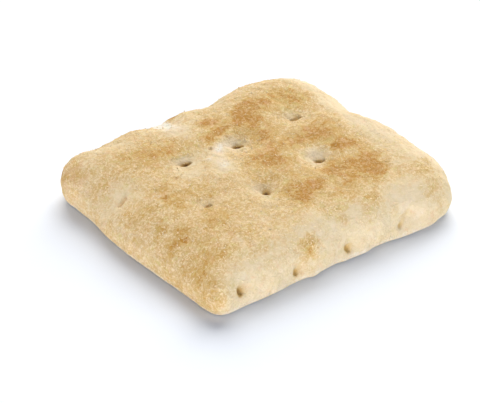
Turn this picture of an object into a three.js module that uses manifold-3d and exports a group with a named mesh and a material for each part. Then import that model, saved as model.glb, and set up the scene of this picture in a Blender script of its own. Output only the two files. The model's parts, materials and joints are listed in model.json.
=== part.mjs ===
// A square focaccia, one piece of baked flatbread: a low, uneven pillow of dough with rounded sides,
// flat underneath where it lay on the tray, and pricked before baking by rows of docking pins.
// The pins left deep pits with soft funnels round them, and the crumb puffed up between them.
// Millimetres, +Z up, the origin under the middle of the bread, the long side along X.

import * as THREE from "three";
import { mergeVertices } from "three/addons/utils/BufferGeometryUtils.js";
import Module from "manifold-3d";

const wasm = await Module();
wasm.setup();

// The bread as a whole.
const LENGTH = 131;
const WIDTH = 118;
const EDGE_HEIGHT = 19.8; // the top crust where it turns down into the sides
const CROWN = 3; // how much higher the middle is than that
const RIM_HEIGHT = 6.2; // where the sides are widest
const BASE_TUCK = 3.7; // how far the sides draw in under the rim, towards the tray
const TRAY_DIP = 1; // how far the dough would sag below the tray, which flattens it instead

// The plan width of the shoulder that turns the top crust down to the rim. Towards the side that faces
// -X it widens, and the crust falls away there more gently than on the other sides.
const SHOULDER = 14;
const GENTLE_SHOULDER = 21;
const GENTLE_FROM = 0.5; // the share of half the length at which it starts to widen

// The outline at the rim, anticlockwise from the front corner, as shares of half the length and width.
const OUTLINE = [
  [-0.897, -0.822],
  [-0.715, -0.872],
  [0.08, -0.928],
  [0.729, -0.993],
  [0.835, -0.962],
  [0.972, -0.659],
  [0.961, 0.019],
  [0.921, 0.699],
  [0.826, 0.773],
  [0.57, 0.892],
  [0.029, 0.927],
  [-0.693, 0.982],
  [-0.929, 0.83],
  [-0.948, 0.684],
  [-0.983, 0.018],
  [-0.93, -0.715],
];

// The docking pins' marks on the top, row by row from the front to the back: the place in plan, the
// radius and depth of the soft funnel, and the radius of the pit, with 0 where the pit baked shut.
const TOP_DOCKS = [
  { x: -35, y: -11.5, funnel: 9, sink: 1.8, pit: 1.3 },
  { x: -11.5, y: -19, funnel: 9, sink: 2.8, pit: 1.9 },
  { x: 18.5, y: -16, funnel: 10, sink: 3.0, pit: 2.1 },
  { x: 47, y: -21, funnel: 10, sink: 1.3, pit: 0 },
  { x: -56, y: 16, funnel: 9, sink: 1.6, pit: 1.2 },
  { x: -25.5, y: 15.5, funnel: 9, sink: 2.6, pit: 2.0 },
  { x: 0, y: 12, funnel: 11, sink: 3.2, pit: 2.3 },
  { x: 30.5, y: 13, funnel: 9, sink: 2.2, pit: 1.9 },
  { x: 62, y: 6.5, funnel: 10, sink: 1.9, pit: 0 },
  { x: -40, y: 51, funnel: 9, sink: 2.1, pit: 0 },
  { x: -13, y: 48, funnel: 9, sink: 3.4, pit: 1.6 },
  { x: 13, y: 49, funnel: 9, sink: 2.4, pit: 1.6 },
];

// The front row was pricked so close to the cut edge that the dough carried it round on to the side.
const SIDE_DOCKS = [
  { x: -48.5, y: -52, z: 9, funnel: 8, sink: 2.0, pit: 1.4 },
  { x: -23, y: -53, z: 6.3, funnel: 7, sink: 1.8, pit: 1.2 },
  { x: 1.5, y: -54, z: 6.5, funnel: 8, sink: 2.2, pit: 1.3 },
  { x: 28, y: -57, z: 8, funnel: 9, sink: 2.0, pit: 1.1 },
];

// Where the crumb puffed up: the corners and sides at the heights given, and the cells of the top.
const PUFFS = [
  { x: -58, y: -47, z: 12, reach: 15, rise: 2.9 },
  { x: 56, y: -43, z: 17, reach: 19, rise: 1.7 },
  { x: 43, y: 41.5, z: 19, reach: 21, rise: 2.1 },
  { x: -56.5, y: 45.5, z: 15, reach: 18.5, rise: 5.0 },
  { x: -64, y: 11, z: 9, reach: 19, rise: 1.3 },
  { x: 62, y: -10, z: 12, reach: 19, rise: 1.9 },
  { x: 62, y: 31, z: 9, reach: 16, rise: 1.1 },
  { x: 0, y: 55, z: 6, reach: 15, rise: 1.7 },
  { x: 28, y: 54, z: 6, reach: 17, rise: 1.7 },
  { x: -37, y: -40, z: 18, reach: 13, rise: 1.2 },
  { x: -12, y: -44, z: 16, reach: 13, rise: 1.8 },
  { x: 14, y: -46, z: 16, reach: 14, rise: 1.4 },
  { x: -18, y: -3, reach: 14, rise: 1.0 },
  { x: 8, y: -6, reach: 15, rise: 1.4 },
  { x: 39, y: -2, reach: 18, rise: 1.8 },
  { x: -34, y: 32, reach: 18, rise: 1.2 },
  { x: -7, y: 28, reach: 16, rise: 1.4 },
  { x: 22, y: 29, reach: 17, rise: 1.8 },
];

// The pins stretched the dough along X, so the funnels and the pits of the top are longer that way, and
// they leaned, so that each pit's floor lies towards -Y. The side's pits were drawn out downwards.
const FUNNEL_STRETCH = 1.2;
const PIT_STRETCH = 1.5;
const PIT_LEAN = Math.PI / 9;

// Each pit tapers to a round end, and its tool flares out past the funnel.
const PIT_SIDES = 12;
const PIT_DEPTH = 5;
const PIT_TAPER = 0.5; // the end's radius as a share of the mouth's
const PIT_REACH_OUT = 3;
const PIT_FLARE = 1.9; // the tool's radius out there, as a share of the mouth's

// Fineness of the skin: quads along X, along Y and down the side under the rim, and the share of the
// rings from the middle to the rim that lie on the shoulder.
const COLUMNS = 54;
const ROWS = 48;
const TUCK_RINGS = 4;
const SHOULDER_SHARE = 0.28;

const QUARTER_TURN = Math.PI / 2;
const INSET_SPAN = WIDTH / 2; // an inset this deep reaches the middle

const outline = new THREE.CatmullRomCurve3(
  OUTLINE.map(([x, y]) => new THREE.Vector3((x * LENGTH) / 2, (y * WIDTH) / 2, 0)),
  true,
  "centripetal",
);
outline.arcLengthDivisions = 800;

// The share of the way round the edge of a 2 by 2 square, from its front corner, for a point on it,
// measured as if the square were as long and wide as the bread.
function shareRound(a, b) {
  const perimeter = 2 * (LENGTH + WIDTH);
  if (b <= -1) return ((1 + a) * LENGTH) / 2 / perimeter;
  if (a >= 1) return (LENGTH + ((1 + b) * WIDTH) / 2) / perimeter;
  if (b >= 1) return (LENGTH + WIDTH + ((1 - a) * LENGTH) / 2) / perimeter;
  return (2 * LENGTH + WIDTH + ((1 - b) * WIDTH) / 2) / perimeter;
}

function shoulderWidth(rim) {
  const towardsGentle = (-rim.x / (LENGTH / 2) - GENTLE_FROM) / (1 - GENTLE_FROM);
  const widening = THREE.MathUtils.smoothstep(towardsGentle, 0, 1);
  return THREE.MathUtils.lerp(SHOULDER, GENTLE_SHOULDER, widening);
}

function crustHeight(x, y) {
  const lengthways = Math.max(0, 1 - ((2 * x) / LENGTH) ** 2);
  const widthways = Math.max(0, 1 - ((2 * y) / WIDTH) ** 2);
  return EDGE_HEIGHT + CROWN * lengthways * widthways;
}

// A point of the crust, from the middle at ring 0, over the shoulder, to the rim at ring 1.
function crustPoint(rim, ring) {
  const flatShare = 1 - SHOULDER_SHARE;
  const shoulder = shoulderWidth(rim);
  const turn = (Math.max(0, ring - flatShare) / SHOULDER_SHARE) * QUARTER_TURN;
  const flatInset = INSET_SPAN - ((INSET_SPAN - shoulder) * ring) / flatShare;
  const inset = turn > 0 ? shoulder * (1 - Math.sin(turn)) : flatInset;
  const [x, y] = [rim.x, rim.y].map((reach) => reach * (1 - inset / INSET_SPAN));
  const z = THREE.MathUtils.lerp(crustHeight(x, y), RIM_HEIGHT, 1 - Math.cos(turn));
  return [x, y, z];
}

// A point under the rim, which is as far down as the depth says, from 0 to 1.
function tuckPoint(rim, ring, depth) {
  const turn = depth * QUARTER_TURN;
  const tuck = BASE_TUCK * (1 - Math.cos(turn));
  const share = ring * (1 - tuck / INSET_SPAN);
  return [rim.x * share, rim.y * share, RIM_HEIGHT - (RIM_HEIGHT + TRAY_DIP) * Math.sin(turn)];
}

// Moves a point of the 2 by 2 by 2 box on to the smooth pillow. The top face becomes the crust and its
// shoulder, the sides become the tuck under the rim, and the bottom face lies just below the tray.
function ontoPillow(point) {
  const ring = Math.max(Math.abs(point.x), Math.abs(point.y));
  const share = ring > 0 ? shareRound(point.x / ring, point.y / ring) : 0;
  const rim = outline.getPointAt(share);
  const place = point.z < 1 ? tuckPoint(rim, ring, (1 - point.z) / 2) : crustPoint(rim, ring);
  return point.fromArray(place);
}

function eachPoint(geometry, change) {
  const position = geometry.getAttribute("position");
  const point = new THREE.Vector3();
  for (let i = 0; i < position.count; i++) {
    change(point.fromBufferAttribute(position, i), i);
    position.setXYZ(i, point.x, point.y, point.z);
  }
  return geometry;
}

function smoothPillow() {
  const box = new THREE.BoxGeometry(2, 2, 2, COLUMNS, ROWS, TUCK_RINGS);
  box.deleteAttribute("normal");
  box.deleteAttribute("uv");
  const skin = eachPoint(mergeVertices(box), ontoPillow);
  skin.computeVertexNormals();
  return skin;
}

// The point of the skin nearest to a mark, and the skin's smooth normal there.
function placeOnSkin(skin, { x, y, z = crustHeight(x, y) }) {
  const position = skin.getAttribute("position");
  const normals = skin.getAttribute("normal");
  const wanted = new THREE.Vector3(x, y, z);
  const triangle = new THREE.Triangle();
  const candidate = new THREE.Vector3();
  const weights = new THREE.Vector3();
  const place = { point: new THREE.Vector3(), normal: new THREE.Vector3() };
  let least = Infinity;
  for (let i = 0; i < skin.index.count; i += 3) {
    const [a, b, c] = [0, 1, 2].map((corner) => skin.index.getX(i + corner));
    triangle.setFromAttributeAndIndices(position, a, b, c);
    triangle.closestPointToPoint(wanted, candidate);
    const distance = candidate.distanceTo(wanted);
    if (distance < least) {
      least = distance;
      place.point.copy(candidate);
      triangle.getBarycoord(candidate, weights);
      THREE.Triangle.getInterpolatedAttribute(normals, a, b, c, weights, place.normal);
    }
  }
  place.normal.normalize();
  return place;
}

// How much of a swelling reaches a point: all at its middle, and next to nothing past its reach. It may
// be stretched along X.
function swell(point, middle, reach, stretch = 1) {
  const along = (point.x - middle.x) / stretch;
  const distance = Math.hypot(along, point.y - middle.y, point.z - middle.z);
  return Math.exp(-2 * (distance / reach) ** 2);
}

// Swells the skin along its own normals at the puffs, and sinks it round the docks.
function puffAndDock(skin, puffs, docks) {
  const normals = skin.getAttribute("normal");
  const outward = new THREE.Vector3();
  return eachPoint(skin, (point, i) => {
    let move = 0;
    for (const { place, reach, rise } of puffs) {
      move += rise * swell(point, place.point, reach);
    }
    for (const { place, funnel, sink } of docks) {
      move -= sink * swell(point, place.point, funnel, FUNNEL_STRETCH);
    }
    point.addScaledVector(outward.fromBufferAttribute(normals, i), move);
  });
}

// The hole that one pin left: a tapering round-ended slot, set into the bottom of the funnel.
function pitTool({ place, sink, pit, z }) {
  const end = pit * PIT_TAPER;
  const profile = [
    new THREE.Vector2(0, -PIT_DEPTH),
    new THREE.Vector2(end * 0.7, -PIT_DEPTH + end * 0.3),
    new THREE.Vector2(end, -PIT_DEPTH + end),
    new THREE.Vector2(pit, 0),
    new THREE.Vector2(pit * PIT_FLARE, PIT_REACH_OUT),
    new THREE.Vector2(0, PIT_REACH_OUT),
  ];
  const onSide = z !== undefined;
  const tool = new THREE.LatheGeometry(profile, PIT_SIDES);
  tool.scale(onSide ? 1 : PIT_STRETCH, 1, onSide ? PIT_STRETCH : 1);
  tool.rotateX(onSide ? 0 : -PIT_LEAN);
  const outward = place.normal;
  const along = new THREE.Vector3(1, 0, 0).projectOnPlane(outward).normalize();
  const across = new THREE.Vector3().crossVectors(along, outward);
  const mouth = place.point.clone().addScaledVector(outward, -sink);
  return tool.applyMatrix4(new THREE.Matrix4().makeBasis(along, outward, across).setPosition(mouth));
}

// The tray that flattens the base.
function tray() {
  const depth = 10 * TRAY_DIP;
  return new THREE.BoxGeometry(2 * LENGTH, 2 * WIDTH, depth).translate(0, 0, -depth / 2);
}

function toSolid(geometry) {
  const bare = geometry.clone();
  bare.deleteAttribute("normal");
  bare.deleteAttribute("uv");
  const merged = mergeVertices(bare);
  return new wasm.Manifold(
    new wasm.Mesh({
      numProp: 3,
      vertProperties: merged.getAttribute("position").array,
      triVerts: new Uint32Array(merged.index.array),
    }),
  );
}

function toGeometry(solid) {
  const mesh = solid.getMesh();
  const geometry = new THREE.BufferGeometry();
  geometry.setAttribute("position", new THREE.BufferAttribute(mesh.vertProperties, 3));
  geometry.setIndex(new THREE.BufferAttribute(mesh.triVerts, 1));
  geometry.computeVertexNormals();
  return geometry;
}

function focaccia() {
  const skin = smoothPillow();
  const placed = (mark) => ({ ...mark, place: placeOnSkin(skin, mark) });
  const docks = [...SIDE_DOCKS, ...TOP_DOCKS].map(placed);
  const puffs = PUFFS.map(placed);
  let bread = toSolid(puffAndDock(skin, puffs, docks)).subtract(toSolid(tray()));
  for (const dock of docks.filter(({ pit }) => pit > 0)) {
    bread = bread.subtract(toSolid(pitTool(dock)));
  }
  const crust = new THREE.MeshStandardMaterial({ color: 0xddc294, roughness: 0.85, metalness: 0 });
  const mesh = new THREE.Mesh(toGeometry(bread), crust);
  mesh.name = "focaccia";
  return mesh;
}

const group = new THREE.Group();
group.add(focaccia());
export default group;
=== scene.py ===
# %% [markdown]
# # A square sandwich focaccia
#
# The real thing is a low, soft flatbread, about 13 cm square and not much over 2 cm high. It is baked on
# a flat tray, so its underside is level and everything above it is swollen and uneven. A docker, a roller
# with blunt pins, has pressed rows of pits into the dough. The crust is matt: cream where the dough
# stayed pale, golden to brown where it puffed up towards the heat, with a little flour and semolina.
#
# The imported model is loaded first. It says how large the bread is and where it lies, and nothing here
# moves it.

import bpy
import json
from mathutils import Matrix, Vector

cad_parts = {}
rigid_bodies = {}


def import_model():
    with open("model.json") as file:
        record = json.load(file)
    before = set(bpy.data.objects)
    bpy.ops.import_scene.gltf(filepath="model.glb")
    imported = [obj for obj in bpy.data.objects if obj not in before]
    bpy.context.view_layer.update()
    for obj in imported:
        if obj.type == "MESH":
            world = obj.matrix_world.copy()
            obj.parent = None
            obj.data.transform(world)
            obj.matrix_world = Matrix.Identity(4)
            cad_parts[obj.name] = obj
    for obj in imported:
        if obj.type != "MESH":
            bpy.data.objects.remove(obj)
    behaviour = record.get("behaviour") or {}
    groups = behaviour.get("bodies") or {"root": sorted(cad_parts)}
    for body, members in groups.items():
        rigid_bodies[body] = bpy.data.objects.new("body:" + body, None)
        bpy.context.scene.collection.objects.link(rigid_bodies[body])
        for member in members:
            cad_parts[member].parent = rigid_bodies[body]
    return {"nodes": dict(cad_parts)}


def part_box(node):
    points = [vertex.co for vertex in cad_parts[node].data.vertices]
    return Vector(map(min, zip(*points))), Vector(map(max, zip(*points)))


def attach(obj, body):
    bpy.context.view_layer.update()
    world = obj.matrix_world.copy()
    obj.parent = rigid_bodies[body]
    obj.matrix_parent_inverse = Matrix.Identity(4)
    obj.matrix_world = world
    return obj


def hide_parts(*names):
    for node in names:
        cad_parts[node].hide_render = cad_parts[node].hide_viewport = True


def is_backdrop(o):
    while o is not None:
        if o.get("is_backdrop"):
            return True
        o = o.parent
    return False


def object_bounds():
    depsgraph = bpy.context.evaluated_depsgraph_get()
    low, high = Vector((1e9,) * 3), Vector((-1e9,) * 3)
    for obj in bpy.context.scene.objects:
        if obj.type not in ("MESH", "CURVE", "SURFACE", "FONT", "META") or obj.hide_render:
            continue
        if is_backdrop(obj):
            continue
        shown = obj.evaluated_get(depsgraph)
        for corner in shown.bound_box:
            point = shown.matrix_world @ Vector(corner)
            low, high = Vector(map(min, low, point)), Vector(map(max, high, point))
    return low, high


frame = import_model()
cad_box = [list(corner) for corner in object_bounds()]

import json
import math

import bmesh
import bpy
import numpy as np
from mathutils import Vector, kdtree, noise

MM = 0.001
low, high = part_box("focaccia")
print("the bread measures", [round(side / MM, 1) for side in high - low], "mm")

# %% [markdown]
# ## One helper for the selection
#
# An operator works on all that is selected, and the loaded model comes in selected. So before every step
# everything is deselected, and then the one piece is made selected and active.

# %% Choose one piece


def choose(piece):
    """Leaves edit mode, and makes this piece the only selected one."""
    if bpy.context.object and bpy.context.object.mode != "OBJECT":
        bpy.ops.object.mode_set(mode="OBJECT")
    bpy.ops.object.select_all(action="DESELECT")
    piece.select_set(True)
    bpy.context.view_layer.objects.active = piece


def apply_modifier(piece, kind, **settings):
    """Adds a modifier with these settings and applies it at once."""
    choose(piece)
    modifier = piece.modifiers.new(kind.lower(), kind)
    for name, value in settings.items():
        setattr(modifier, name, value)
    bpy.ops.object.modifier_apply(modifier=modifier.name)


# %% [markdown]
# ## Camera
#
# The bread was seen from one corner, 36 degrees above the table, with a long lens, so its sides hardly
# converge. The camera stands on a line that starts in the middle of the picture, on the bread, and rises
# by that angle. The line's direction is worked out from the two angles.

# %% Place the camera
VIEW_ROUND, VIEW_UP = math.radians(-39), math.radians(36.2)
VIEW_DISTANCE = 633 * MM
VIEW_CENTRE = Vector((-13.66, -5.35, 8.64)) * MM
towards_camera = Vector((
    math.sin(VIEW_ROUND) * math.cos(VIEW_UP),
    -math.cos(VIEW_ROUND) * math.cos(VIEW_UP),
    math.sin(VIEW_UP),
))
bpy.ops.object.select_all(action="DESELECT")
bpy.ops.object.camera_add(location=VIEW_CENTRE + towards_camera * VIEW_DISTANCE)
camera = bpy.context.object
camera.name = "camera"
camera.rotation_euler = towards_camera.to_track_quat("Z", "Y").to_euler()
camera.data.lens = 118
camera.data.sensor_width = 36
camera.data.clip_start = 0.05
bpy.context.scene.camera = camera
print("camera at", [round(x, 3) for x in camera.location])

# %% [markdown]
# ## Light and ground
#
# The bread lies on plain white, and its shadow is a soft grey rim on the two sides that one sees. So the
# main light comes from behind and above. A broad lamp far away gives it, because a near one would light
# the back of the bread more than the front. Two low lamps on either side of the camera brighten the
# sides. They stand low on purpose: the ground gets little from them, and the shadow stays. A pale blue
# sky fills the rest, and tints the shadow.

# %% Light the bread
SKY_STRENGTH = 0.206
SKY_COLOUR = (0.79, 0.91, 1.15, 1)
LAMPS = {  # where it stands, its width and height, all in metres, its strength in watts, and its colour
    "key lamp": ((1.50, 1.48, 2.12), (3.0, 3.0), 147.0, (1.022, 0.973, 0.90)),
    "right fill lamp": ((0.70, -1.25, 0.15), (0.8, 0.28), 10.1, (0.945, 0.98, 1.035)),
    "left fill lamp": ((-1.25, -0.60, 0.15), (0.8, 0.28), 15.6, (0.985, 0.98, 1.08)),
}

for name, (place, (width, height), watts, colour) in LAMPS.items():
    bpy.ops.object.light_add(type="AREA", location=place)
    lamp = bpy.context.object
    lamp.name = name
    lamp.data.shape = "RECTANGLE"
    lamp.data.size = width
    lamp.data.size_y = height
    lamp.data.energy = watts
    lamp.data.color = colour
    lamp.rotation_euler = Vector(place).to_track_quat("Z", "Y").to_euler()
world = bpy.data.worlds.new("pale sky")
world.use_nodes = True
sky = world.node_tree.nodes["Background"].inputs
sky["Color"].default_value = SKY_COLOUR
sky["Strength"].default_value = SKY_STRENGTH
bpy.context.scene.world = world
bpy.context.scene.view_settings.view_transform = "Standard"
print("lamps:", ", ".join(LAMPS))

# %% [markdown]
# The ground is one large plane, level with the underside. It belongs to the picture and not to the bread,
# so it is declared as stage.

# %% Lay the ground
GROUND_COLOUR = (0.868, 0.917, 0.985, 1)  # a little blue, because the main light is warm

bpy.ops.object.select_all(action="DESELECT")
bpy.ops.mesh.primitive_plane_add(size=8, location=(0, 0, 0))
ground = bpy.context.object
ground.name = "ground"
white = bpy.data.materials.new("white ground")
white.use_nodes = True
finish = white.node_tree.nodes["Principled BSDF"].inputs
finish["Base Color"].default_value = GROUND_COLOUR
finish["Roughness"].default_value = 0.9
finish["Specular IOR Level"].default_value = 0.1
ground.data.materials.append(white)
ground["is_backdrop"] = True
print("the ground is", ground.dimensions.x, "m across")

# %% [markdown]
# ## The form to wrap
#
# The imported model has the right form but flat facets. It could be smoothed as it is, but its triangles
# run in all directions and would show as dents. It serves better as a form: a copy of it is kept for a
# while, and a finer, even net of squares is wrapped round it. The copy's doubled corners are merged first.

# %% Copy the form
form = frame["nodes"]["focaccia"].copy()
form.data = form.data.copy()
form.name = "form"
form.parent = None
bpy.context.scene.collection.objects.link(form)
choose(form)
bpy.ops.object.mode_set(mode="EDIT")
bpy.ops.mesh.select_all(action="SELECT")
bpy.ops.mesh.remove_doubles(threshold=0.001 * MM)
bpy.ops.object.mode_set(mode="OBJECT")
print("the form has", len(form.data.vertices), "corners")

# %% [markdown]
# ## The net of squares
#
# The piece starts as a plain cube of the bread's own size. Its edges are cut side by side in one
# direction after the other: first the four long edges, then everything that runs across them, then the
# short upright ones. Every face stays a square, which is what a subdivision surface likes best.

# %% Cut a cube into squares
SQUARES = (58, 52, 8)  # along the length, the width and the height

bpy.ops.object.select_all(action="DESELECT")
bpy.ops.mesh.primitive_cube_add(size=1, location=(low + high) / 2)
crust = bpy.context.object
crust.name = "crust"
crust.dimensions = high - low
bpy.ops.object.transform_apply(location=True, rotation=False, scale=True)

bpy.ops.object.mode_set(mode="EDIT")
bpy.ops.mesh.select_mode(type="EDGE")
for axis, squares in enumerate(SQUARES):
    bpy.ops.mesh.select_all(action="DESELECT")
    net = bmesh.from_edit_mesh(crust.data)
    for edge in net.edges:
        along = edge.verts[1].co - edge.verts[0].co
        edge.select_set(abs(along[axis]) > 0.9 * along.length)
    bmesh.update_edit_mesh(crust.data)
    bpy.ops.mesh.subdivide(number_cuts=squares - 1)
bpy.ops.object.mode_set(mode="OBJECT")
print("the net has", len(crust.data.polygons), "squares")

# %% [markdown]
# ## Wrapping
#
# Shrinkwrap pulls each corner of the net to the nearest point of the form. That crowds the squares at
# the bread's corners, so the net is relaxed and wrapped again a few times, as one would tug a cloth
# straight. The pits are left out: round each of them the net keeps a smooth skin, and the pits are
# pressed in later, when the net is fine enough for a crisp rim.

# %% List the docking marks
# where the near rim of the pit lies, half its length along that rim, the rim's slope against the row, and
# how strongly it was pressed, in mm
TOP_MARKS = {
    "front left": (-35.4, -13.2, 1.2, -0.2, 0.5),
    "front middle": (-13.0, -20.9, 0.9, -0.6, 1.1),
    "front right": (18.4, -17.3, 2.1, -0.25, 0.85),
    "middle far left": (-55.8, 14.8, 3.8, 0.4, 0.5),
    "middle left": (-25.1, 14.5, 2.1, -0.15, 1.0),
    "middle": (-0.7, 11.5, 1.9, -0.25, 1.15),
    "middle right": (30.5, 11.9, 2.7, -0.1, 0.6),
    "back left": (-13, 46, 2.0, 0, 0.12),
    "back right": (13, 48, 2.0, 0, 0.7),
}
# in the side: the near rim's place with its height, half its length, and the strength. All slant alike
SIDE_MARKS = {
    "side left": (-50.8, -50.0, 9.0, 1.7, 0.6),
    "side middle left": (-24.5, -51.7, 6.2, 1.6, 0.47),
    "side middle right": (1.0, -52.6, 5.9, 1.6, 0.44),
}
KEEP_CLEAR, FADE = 4.6, 1.5  # how far the wrapping stays away from a pit, and how softly it ends, in mm
UPPER_SKIN = 8  # above this height a corner may lie over a pit of the top, in mm
print("docking marks to press:", len(TOP_MARKS) + len(SIDE_MARKS))

# %% [markdown]
# Three small helpers read the mesh's corners, keep a number for each of them, and store a vertex group. A
# fourth says which corners are well away from all pits.

# %% Read and mark the corners


def corners(piece):
    """All corners of a piece's mesh, in mm, one row each."""
    flat = np.empty(len(piece.data.vertices) * 3)
    piece.data.vertices.foreach_get("co", flat)
    return flat.reshape(-1, 3) / MM


def store(piece, name, values):
    """Keeps one number for each corner of the mesh, under this name."""
    layer = piece.data.attributes.new(name, "FLOAT", "POINT")
    layer.data.foreach_set("value", np.ascontiguousarray(values, dtype=np.float32))


def group(piece, name, weights):
    """Stores one weight for each corner in a vertex group, in 51 steps."""
    chosen = piece.vertex_groups.get(name) or piece.vertex_groups.new(name=name)
    steps = np.round(np.clip(weights, 0, 1) * 50).astype(int)
    for step in np.unique(steps):
        chosen.add([int(i) for i in np.nonzero(steps == step)[0]], step / 50, "REPLACE")
    return chosen


def clear_of_pits(places):
    """1 away from the open pits, 0 over them."""
    near = np.full(len(places), 1e9)
    for x, y, *_ in TOP_MARKS.values():
        beside = np.hypot((places[:, 0] - x) / 1.4, places[:, 1] - y - 1)
        near = np.minimum(near, np.where(places[:, 2] > UPPER_SKIN, beside, 1e9))
    for x, y, z, *_ in SIDE_MARKS.values():
        near = np.minimum(near, np.linalg.norm(places - (x + 1, y, z), axis=1))
    return np.clip((near - KEEP_CLEAR) / FADE, 0, 1)


# %% Wrap and relax
def wrap(piece, weights=None):
    """Pulls the piece onto the form, everywhere or by these weights."""
    settings = {"target": form, "wrap_method": "NEAREST_SURFACEPOINT"}
    if weights is not None:
        group(piece, "wrapped", weights)
        settings["vertex_group"] = "wrapped"
    apply_modifier(piece, "SHRINKWRAP", **settings)


wrap(crust)
for _ in range(4):
    apply_modifier(crust, "SMOOTH", factor=0.5, iterations=6)
    wrap(crust)
apply_modifier(crust, "SMOOTH", factor=0.5, iterations=2)
wrap(crust, clear_of_pits(corners(crust)))
lengths = [
    (crust.data.vertices[a].co - crust.data.vertices[b].co).length / MM
    for a, b in (edge.vertices for edge in crust.data.edges)
]
short, usual, wide = (round(float(v), 2) for v in np.percentile(lengths, (1, 50, 99)))
print("the squares' sides measure", short, "to", wide, "mm, mostly about", usual)

# %% [markdown]
# ## An open base
#
# The underside is level, so it needs no fine squares. Its middle is cut out now, leaving a narrow level
# rim, and one flat face closes the hole at the end.

# %% Open the base
LEVEL = 0.12  # what lies lower than this belongs to the level base, in mm

choose(crust)
bpy.ops.object.mode_set(mode="EDIT")
bpy.ops.mesh.select_mode(type="FACE")
bpy.ops.mesh.select_all(action="DESELECT")
net = bmesh.from_edit_mesh(crust.data)
for face in net.faces:
    face.select_set(all(v.co.z < LEVEL * MM for v in face.verts) and face.normal.z < -0.9)
bmesh.update_edit_mesh(crust.data)
bpy.ops.mesh.select_less()
bpy.ops.mesh.delete(type="FACE")
bpy.ops.object.mode_set(mode="OBJECT")
print("without the base's middle the net has", len(crust.data.polygons), "squares")

# %% [markdown]
# ## A finer skin
#
# Two levels of a subdivision surface turn each square into sixteen and round everything off, so the
# facets of the form are gone. The squares are now about half a millimetre wide, as fine as the camera
# can see.

# %% Subdivide
apply_modifier(crust, "SUBSURF", levels=2, render_levels=2)
print("the skin has", len(crust.data.polygons), "squares")

# %% [markdown]
# ## Lumps
#
# Bubbles under the crust make it gently lumpy all over. A displacement by a cloudy noise does that. It
# fades out towards the base, which has to stay level. The corners' own places serve as coordinates, so
# the lumps stay where they are when the bread is moved.

# %% Swell the skin unevenly


def swell(piece, name, lump, height, weights):
    """Moves the skin in and out by a noise with lumps of this width, both in mm."""
    clouds = bpy.data.textures.new(name, "CLOUDS")
    clouds.noise_scale = lump * MM
    clouds.noise_depth = 1
    group(piece, name, weights)
    apply_modifier(
        piece, "DISPLACE",
        texture=clouds, texture_coords="LOCAL", direction="NORMAL",
        strength=height * MM, mid_level=0.5, vertex_group=name,
    )


skin = corners(crust)
off_base = np.clip((skin[:, 2] - 0.4) / 3, 0, 1)
clear = clear_of_pits(skin)
swell(crust, "lumps", 7.5, 1.1, off_base * (0.3 + 0.7 * clear))
swell(crust, "wrinkles", 3.4, 0.7, off_base * (0.4 + 0.6 * clear))
print("lumps added, the highest point is now at", round(corners(crust)[:, 2].max(), 2), "mm")

# %% [markdown]
# ## Pressing the pits
#
# A finger would press the dough and the skin round the fingertip would follow. Proportional editing does
# the same: a few corners are selected and moved, and their neighbours go with them, less and less
# towards the edge of the brush. The falloff shapes the hollow. A sphere falloff gives a steep hole with a
# rounded bottom, a smooth one a soft dish, and a sharp one a dip with a narrow floor.

# %% The fingertip
FINGER_STEP = 0.45


def line(start, end):
    """Points along a straight stroke, in mm."""
    start, end = Vector(start), Vector(end)
    steps = max(1, round((end - start).length / FINGER_STEP))
    return [start.lerp(end, k / steps) for k in range(steps + 1)]


def on_top(x, y):
    """The place on the upper skin over x, y, in mm."""
    hit, place, _, _ = crust.ray_cast(Vector((x, y, 60)) * MM, Vector((0, 0, -1)))
    return place / MM


class Finger:
    """Presses strokes into a piece in edit mode. It finds skin by where it was before the first stroke."""

    def __init__(self, piece):
        self.piece = piece
        self.tree = kdtree.KDTree(len(piece.data.vertices))
        for vertex in piece.data.vertices:
            self.tree.insert(vertex.co / MM, vertex.index)
        self.tree.balance()
        choose(piece)
        bpy.ops.object.mode_set(mode="EDIT")
        bpy.ops.mesh.select_mode(type="VERT")

    def press(self, stroke, move, reach, falloff="SMOOTH"):
        """Moves the skin at these points, and with it what lies within reach, all in mm."""
        bpy.ops.mesh.select_all(action="DESELECT")
        net = bmesh.from_edit_mesh(self.piece.data)
        net.verts.ensure_lookup_table()
        for point in stroke:
            _, index, _ = self.tree.find(point)
            net.verts[index].select_set(True)
        net.select_flush_mode()
        bmesh.update_edit_mesh(self.piece.data)
        bpy.ops.transform.translate(
            value=Vector(move) * MM,
            use_proportional_edit=True,
            proportional_edit_falloff=falloff,
            proportional_size=reach * MM,
        )


# %% [markdown]
# The rims are the crispest thing on the bread, so the squares round the pits are cut once more.

# %% Cut finer squares round the pits
top_places = {name: on_top(x, y) for name, (x, y, *_) in TOP_MARKS.items()}
side_places = {name: Vector((x, y, z)) for name, (x, y, z, *_) in SIDE_MARKS.items()}
FINER = [(place + Vector((0, 1, 0)), 4.6) for place in top_places.values()]
FINER += [(place + Vector((0.8, 0, 0)), 3.6) for place in side_places.values()]
choose(crust)
bpy.ops.object.mode_set(mode="EDIT")
bpy.ops.mesh.select_mode(type="FACE")
bpy.ops.mesh.select_all(action="DESELECT")
net = bmesh.from_edit_mesh(crust.data)
for face in net.faces:
    centre = face.calc_center_median() / MM
    face.select_set(any((centre - place).length < reach for place, reach in FINER))
bmesh.update_edit_mesh(crust.data)
bpy.ops.mesh.subdivide(number_cuts=1, ngon=False)
bpy.ops.object.mode_set(mode="OBJECT")
print("the skin now has", len(crust.data.polygons), "faces")

# %% [markdown]
# The pins came down on the top at a slant, so each pit runs in under its near rim: behind it the skin
# slopes down, gently at first and then steeply, and the rim itself stands up a little, tight and pale.
# That takes a nest of strokes. Each is smaller, deeper and closer to the rim than the one before, and the
# last one leans in under it. The strokes bend like a smile, as the rims in the bread do.

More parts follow.
